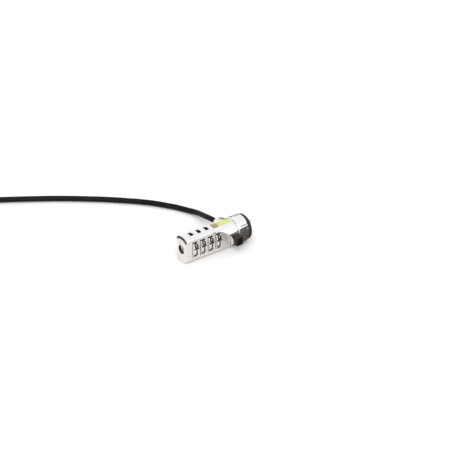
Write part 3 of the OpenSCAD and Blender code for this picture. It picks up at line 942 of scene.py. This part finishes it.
def makeBumper():
    outline = [
        (bumper["from"], bumper["hole"]), (bumper["to"], bumper["hole"]),
        (bumper["to"], bumper["radius"]), (bumper["from"], bumper["radius"]),
    ]
    outline = roundCorner(outline, 2, bumper["round"], 8)
    piece = turned("bumperWasher", outline, 128)
    smoothByAngle(piece.data, 38)
    finishPiece(piece, "ring", "black_rubber", softRubber, "bumper_washer")


makeBumper()
print("ring and bumper made")

# Pieces copied from the frame, each with the width of its edge rounding
softCopies = [
    ("barrel_core", "barrelCore", "barrel", "satin_nickel", satinNickel, 0.25),
    ("top_cover", "topCover", "barrel", "bright_chrome", brightChrome, 0.18),
    # The black cover liner is partly painted shade: it fills the gap under the cover's edge on the end face,
    # where shade falls
    ("cover_liner", "coverLiner", "barrel", "black_rubber", softRubber, 0.05),
    ("front_face_plate", "frontFacePlate", "barrel", "satin_nickel", satinNickel, 0.15),
    ("rear_face_plate", "rearFacePlate", "barrel", "satin_nickel", satinNickel, 0.15),
    ("top_label", "topLabel", "barrel", "yellow_label", labelFilm, 0.0),
    ("reset_screw", "resetScrew", "reset", "machined_steel", screwSteel, 0.12),
    ("lock_spindle", "lockSpindle", "spindle", "machined_steel", machinedSteel, 0.15),
    ("nose_plate", "nosePlate", "ring", "machined_steel", machinedSteel, 0.12),
    ("swivel_band", "swivelBand", "swivel", "bright_chrome", brightChrome, 0.15),
    ("front_lug", "frontLug", "swivel", "black_plastic", blackPlastic, 0.5),
    ("cable_yoke", "cableYoke", "swivel", "bright_chrome", brightChrome, 0.35),
    ("pivot_pin", "pivotPin", "swivel", "machined_steel", machinedSteel, 0.2),
]
for node, name, body, slotName, material, width in softCopies:
    softCopy(node, name, body, slotName, material, width)

# The return spring, which shortens towards its fixed end as the spindle slides, gets a mesh of its own
returnSpring = softCopy(
    "return_spring", "returnSpring", "barrel", "spring_steel", springSteel, width=0.0, sharp=60,
)
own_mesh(returnSpring)

# Inner pieces keep their CAD meshes and take a finish
carriedOver = {
    "click_spring": ("spring_steel", springSteel),
    "spindle_bush": ("brass", turnedBrass),
    "ring_circlip": ("spring_steel", springSteel),
    "reset_clip": ("spring_steel", springSteel),
    "spindle_clip": ("spring_steel", springSteel),
    "code_ring_1": ("brass", turnedBrass),
    "code_ring_2": ("brass", turnedBrass),
    "code_ring_3": ("brass", turnedBrass),
    "code_ring_4": ("brass", turnedBrass),
}
for node, (slotName, material) in carriedOver.items():
    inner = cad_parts[node]
    inner.data.materials.clear()
    inner.data.materials.append(material)
print("barrel and swivel made")

# Floor, lights and flag, in metres
studio = {
    "floor": 6.0, "floorHeight": -0.0002, "floorColour": (0.93, 0.93, 0.93), "sky": 0.99,
    "keyAt": (-0.5, -0.7, 1.1), "keyPower": 6.0, "keySize": 0.9,
    "fillAt": (0.3, -0.9, 0.5), "fillPower": 1.5, "fillSize": 1.2,
    "flagX": 0.0256, "flagFrom": -0.32, "flagTo": 0.03, "flagHigh": 0.022, "flagFoot": 0.014,
}


def makeFloor():
    half, height = studio["floor"] / 2, studio["floorHeight"]
    corners = [(-half, -half, height), (half, -half, height), (half, half, height), (-half, half, height)]
    piece = meshObject("studioFloor", corners, [(0, 1, 2, 3)])
    material, _, shader = newMaterial("paleFloor", 0.0)
    shader.inputs["Base Color"].default_value = (*studio["floorColour"], 1)
    shader.inputs["Roughness"].default_value = 0.9
    piece.data.materials.append(material)


def addArea(name, at, power, size):
    data = bpy.data.lights.new(name, "AREA")
    data.energy = power
    data.size = size
    lamp = bpy.data.objects.new(name, data)
    bpy.context.scene.collection.objects.link(lamp)
    lamp.location = at
    lamp.rotation_euler = (Vector(at) * -1).to_track_quat("-Z", "Y").to_euler()


def makeWorld():
    world = bpy.data.worlds.new("studioSky")
    world.use_nodes = True
    world.node_tree.nodes["Background"].inputs["Color"].default_value = (1, 1, 1, 1)
    world.node_tree.nodes["Background"].inputs["Strength"].default_value = studio["sky"]
    bpy.context.scene.world = world


# Dark mottled wall and strip of floor, seen only in what the metal mirrors: a painted reflection that stands
# in for the laptop's dark side, and painted shade of the floor beside it
def makeFlag():
    x, low, high, top, foot = (studio[k] for k in ("flagX", "flagFrom", "flagTo", "flagHigh", "flagFoot"))
    wall = [(x, low, 0), (x, high, 0), (x, high, top), (x, low, top)]
    strip = [(x - foot, low, 0), (x - foot, high, 0)]
    piece = meshObject("shadeReflectionFlag", wall + strip, [(0, 1, 2, 3), (4, 5, 1, 0)])
    material, tree, shader = newMaterial("shadeReflectionFlag", 0.0)
    cloud = useGroup(tree, grainGroup, {"Scale": 900.0, "Blotch": 160.0})["Cloud"]
    colour = mixColours(tree, cloud, finishAndShade["flagDark"], finishAndShade["flagLight"])
    tree.links.new(colour, shader.inputs["Base Color"])
    shader.inputs["Roughness"].default_value = 0.8
    piece.data.materials.append(material)
    piece.visible_camera = False
    piece.visible_diffuse = False
    piece.visible_shadow = False


makeFloor()
makeFlag()
makeWorld()
bpy.context.scene.view_settings.view_transform = "Standard"
addArea("keyLight", studio["keyAt"], studio["keyPower"], studio["keySize"])
addArea("fillLight", studio["fillAt"], studio["fillPower"], studio["fillSize"])
print("stage made")
